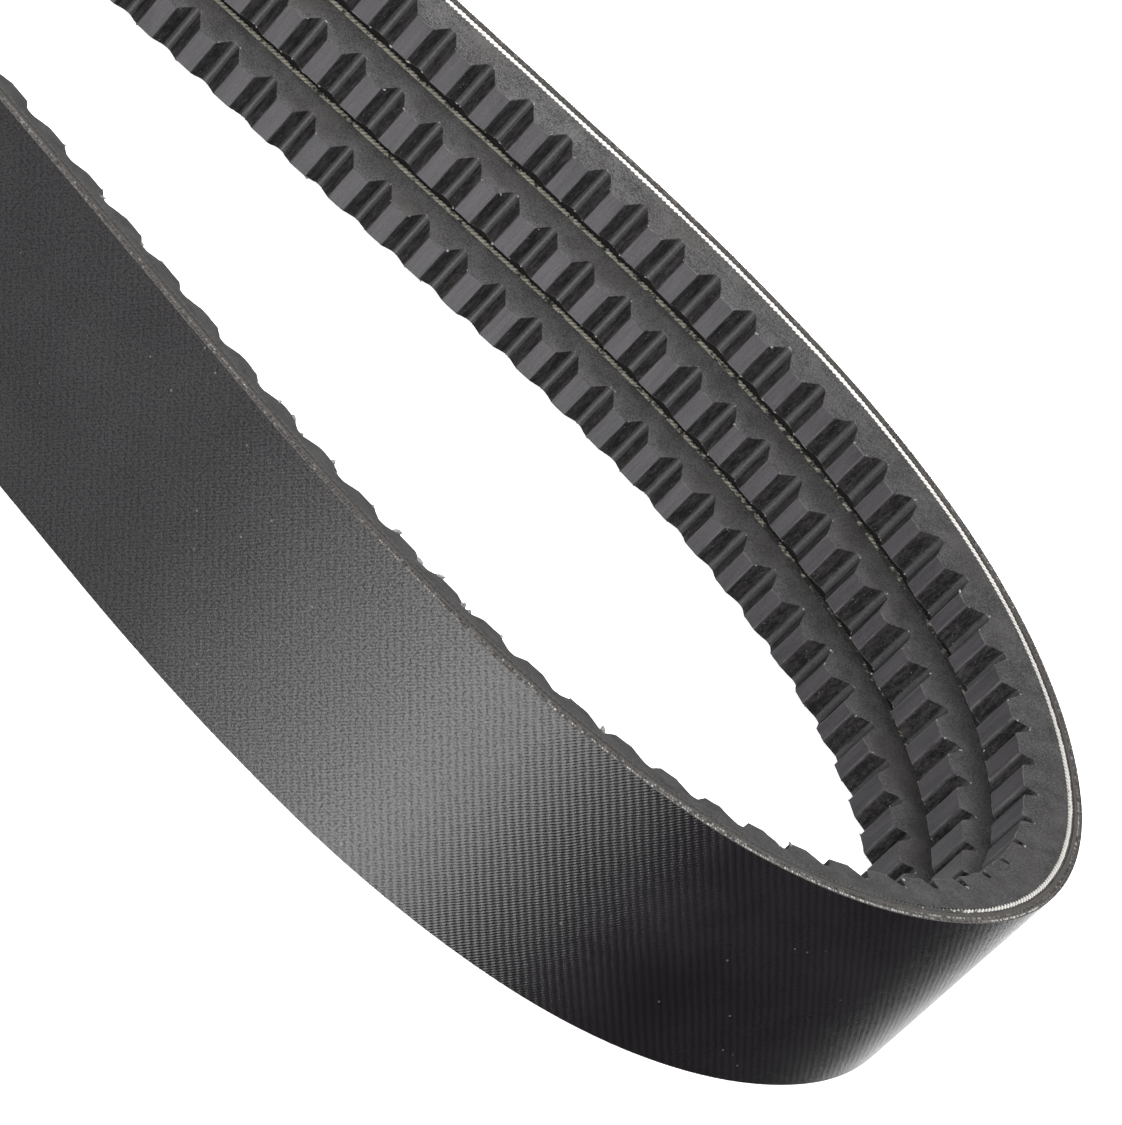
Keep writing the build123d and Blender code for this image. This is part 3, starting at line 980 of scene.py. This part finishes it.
FLOOR_HALF_SIZE = 6.0
FLOOR_GAP = 0.0001
FLOOR_GLOW = 0.9
belt_low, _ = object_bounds()
floor = flat_sheet("floor", (0, 0, belt_low.z - FLOOR_GAP), (FLOOR_HALF_SIZE, 0, 0),
                   (0, FLOOR_HALF_SIZE, 0), lit_floor())
floor.visible_glossy = False

# --- camera: above the near strand, rolled an eighth of a turn ---------------------------------
CAMERA_SENSOR_WIDTH = 36.0
CAMERA_FOCAL_LENGTH = 133.98
CAMERA_DISTANCE = 0.79258
CAMERA_ELEVATION = 0.49817
CAMERA_ROLL = 0.00937 - radians(45.0)
LOOP_TURN = -0.04992
AIM_FROM_BEND = (0.114006, 0.051143)

cord_bend_x = cad_high.x - BAND_RISE * MM


def to_cad(vector):
    """Turns a direction from the camera's level frame to the CAD frame."""
    return Matrix.Rotation(-LOOP_TURN, 3, "Z") @ Vector(vector)


aim = to_cad((-AIM_FROM_BEND[0], -AIM_FROM_BEND[1], 0.0))
aim += Vector((cord_bend_x, 0.0, BAND_WIDTH * MM))
ahead = to_cad((0.0, cos(CAMERA_ELEVATION), -sin(CAMERA_ELEVATION)))
level = to_cad((1.0, 0.0, 0.0))
upward = to_cad((0.0, sin(CAMERA_ELEVATION), cos(CAMERA_ELEVATION)))
right = level * cos(CAMERA_ROLL) - upward * sin(CAMERA_ROLL)
up = level * sin(CAMERA_ROLL) + upward * cos(CAMERA_ROLL)
camera_data = bpy.data.cameras.new("camera")
camera_data.sensor_width = CAMERA_SENSOR_WIDTH
camera_data.lens = CAMERA_FOCAL_LENGTH
camera = bpy.data.objects.new("camera", camera_data)
bpy.context.scene.collection.objects.link(camera)
camera.matrix_world = Matrix.Translation(aim - ahead * CAMERA_DISTANCE) @ Matrix(
    (right, up, -ahead)).transposed().to_4x4()
bpy.context.scene.camera = camera


def soft_light(name, position, target, size, power):
    """A square soft box that points at a target."""
    data = bpy.data.lights.new(name, "AREA")
    data.shape = "SQUARE"
    data.size = size
    data.energy = power
    lamp = bpy.data.objects.new(name, data)
    lamp.location = position
    lamp.rotation_mode = "QUATERNION"
    lamp.rotation_quaternion = (Vector(target) - Vector(position)).to_track_quat("-Z", "Y")
    bpy.context.scene.collection.objects.link(lamp)
    return lamp


soft_light("overhead_softbox", (-0.1, 0.1, 1.6), (0.05, 0.0, 0.0), 1.4, 22.0)
soft_light("front_softbox", (0.05, -1.5, 0.80), (0.1, 0.0, 0.03), 1.2, 30.0)
soft_light("right_softbox", (1.5, 0.5, 0.9), (0.15, 0.0, 0.03), 0.8, 6.0)

# Brightness of the studio round the horizon, by compass angle from +X: a white wall to the
# front left, black cloth to the front right, a paler wall behind.
WALL_BRIGHTEST = 6.4
WALL_BRIGHTNESS = [
    (-180, 0.5), (-140, 0.6), (-118, 0.75), (-108, 1.1), (-98, 2.4), (-88, 4.8), (-76, 6.4),
    (-65, 6.0), (-59, 3.0), (-53, 0.4), (-45, 0.03), (40, 0.03), (54, 0.30), (66, 1.9),
    (84, 2.8), (110, 1.6), (150, 0.7), (180, 0.5)]
CEILING_BRIGHTNESS = 0.70
# The wall turns into the ceiling between these heights of the view direction.
HORIZON_LOW, HORIZON_HIGH = -0.12, 0.02


def studio_world():
    """Pale walls of uneven brightness below the horizon, an even ceiling above it."""
    world = bpy.data.worlds.new("studio")
    world.use_nodes = True
    tree = world.node_tree

    def node(kind, **settings):
        made = tree.nodes.new(kind)
        for key, value in settings.items():
            setattr(made, key, value)
        return made

    direction = node("ShaderNodeTexCoord").outputs["Generated"]
    parts = node("ShaderNodeSeparateXYZ")
    tree.links.new(direction, parts.inputs[0])
    compass = node("ShaderNodeMath", operation="ARCTAN2")
    tree.links.new(parts.outputs["Y"], compass.inputs[0])
    tree.links.new(parts.outputs["X"], compass.inputs[1])
    share = node("ShaderNodeMapRange")
    tree.links.new(compass.outputs[0], share.inputs["Value"])
    share.inputs["From Min"].default_value = -pi
    share.inputs["From Max"].default_value = pi
    ramp = node("ShaderNodeValToRGB")
    tree.links.new(share.outputs[0], ramp.inputs[0])
    stops = ramp.color_ramp.elements
    while len(stops) < len(WALL_BRIGHTNESS):
        stops.new(0.5)
    for stop, (angle, _) in zip(stops, WALL_BRIGHTNESS):
        stop.position = (angle + 180) / 360
    for stop, (_, bright) in zip(stops, WALL_BRIGHTNESS):
        level = bright / WALL_BRIGHTEST
        stop.color = (level, level, level, 1)
    wall = node("ShaderNodeMath", operation="MULTIPLY")
    tree.links.new(ramp.outputs["Color"], wall.inputs[0])
    wall.inputs[1].default_value = WALL_BRIGHTEST
    above = node("ShaderNodeMapRange")
    tree.links.new(parts.outputs["Z"], above.inputs["Value"])
    above.inputs["From Min"].default_value = HORIZON_LOW
    above.inputs["From Max"].default_value = HORIZON_HIGH
    mixed = node("ShaderNodeMix", data_type="FLOAT")
    tree.links.new(above.outputs[0], mixed.inputs["Factor"])
    tree.links.new(wall.outputs[0], mixed.inputs["A"])
    mixed.inputs["B"].default_value = CEILING_BRIGHTNESS
    tree.links.new(mixed.outputs["Result"], tree.nodes["Background"].inputs["Strength"])
    tree.nodes["Background"].inputs["Color"].default_value = rgb(1.0, 1.0, 1.0)
    return world


bpy.context.scene.world = studio_world()
bpy.context.scene.view_settings.view_transform = "Standard"
